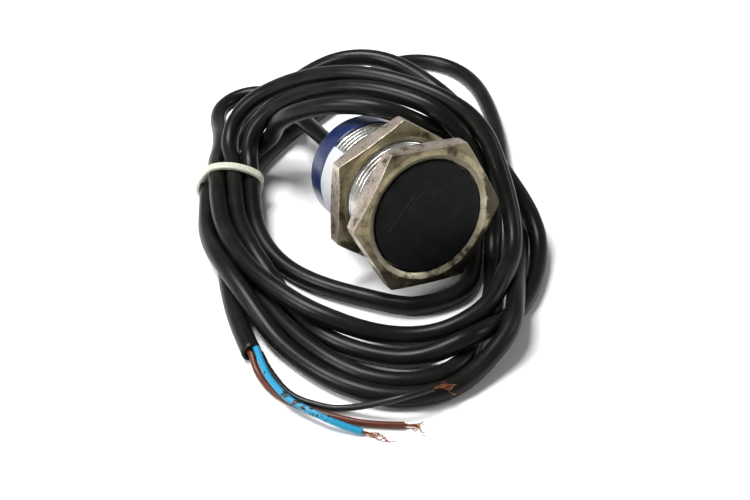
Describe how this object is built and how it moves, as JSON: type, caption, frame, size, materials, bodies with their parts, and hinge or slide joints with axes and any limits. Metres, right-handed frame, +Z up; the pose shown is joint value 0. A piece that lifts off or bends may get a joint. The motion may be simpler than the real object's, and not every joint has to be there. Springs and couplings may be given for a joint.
{
  "type": "proximity sensor",
  "caption": "Cylindrical threaded inductive proximity sensor with clamping nuts, a flat sensing face and a coiled cable with stripped wire ends.",
  "frame": {"origin": "middle of the underside of the sensor's box, on the surface it lies on; the cable is not counted", "axes": "+Z up, -Y the way the sensing face looks, +X to the right of someone who looks along +Y at the face; the barrel is raised 9.8 degrees at its face"},
  "size_m": [0.1212, 0.1567, 0.0419],
  "materials": {
    "nickel_brass": "worn nickel plate",
    "face_plastic": "matte",
    "cap_plastic": "satin",
    "label_paper": "matte",
    "ferrite": "matte",
    "natural_nylon": "satin",
    "copper": "bare copper",
    "board": "satin",
    "chip_body": "matte",
    "tantalum": "satin",
    "lamp_lens": "clear",
    "resin": "satin",
    "rubber": "matte",
    "steel": "brushed",
    "cable_jacket": "satin",
    "wire_brown": "satin",
    "wire_blue": "satin",
    "wire_black": "satin"
  },
  "bodies": {
    "sensor": {"barrel_tube": "nickel_brass", "sensing_face_cap": "face_plastic", "face_seal_ring": "rubber", "rear_end_cap": "cap_plastic", "marking_label": "label_paper", "ferrite_core": "ferrite", "coil_bobbin": "natural_nylon", "coil_winding": "copper", "circuit_board": "board", "oscillator_chip": "chip_body", "output_transistor": "chip_body", "tantalum_capacitor": "tantalum", "filter_capacitor": "natural_nylon", "resistor_1": "chip_body", "resistor_2": "chip_body", "resistor_3": "chip_body", "potting_plug": "resin", "indicator_board": "board", "indicator_lamp_1": "lamp_lens", "indicator_lamp_2": "lamp_lens", "indicator_lamp_3": "lamp_lens", "indicator_lamp_4": "lamp_lens", "crimp_ring": "steel", "cable_grommet": "rubber", "brown_inner_lead": "wire_brown", "blue_inner_lead": "wire_blue", "black_inner_lead": "wire_black", "cable_lead": "cable_jacket", "cable_coil": "cable_jacket", "cable_inner_turn": "cable_jacket", "cable_back_loop": "cable_jacket", "cable_tail": "cable_jacket", "cable_tie_strap": "natural_nylon", "cable_tie_head": "natural_nylon", "brown_wire": "wire_brown", "blue_wire": "wire_blue", "black_wire": "wire_black", "brown_copper_strands": "copper", "blue_copper_strands": "copper", "black_copper_strands": "copper"},
    "front_nut": {"front_nut": "nickel_brass"},
    "rear_nut": {"rear_nut": "nickel_brass"}
  },
  "joints": [
    {"name": "front_nut_turn", "type": "hinge", "parent": "sensor", "child": "front_nut", "pos_m": [0, -0.01753, 0.02304], "axis": [0, -0.9854, 0.1702], "continuous": true},
    {"name": "rear_nut_turn", "type": "hinge", "parent": "sensor", "child": "rear_nut", "pos_m": [0, -0.00344, 0.0206], "axis": [0, -0.9854, 0.1702], "continuous": true}
  ]
}
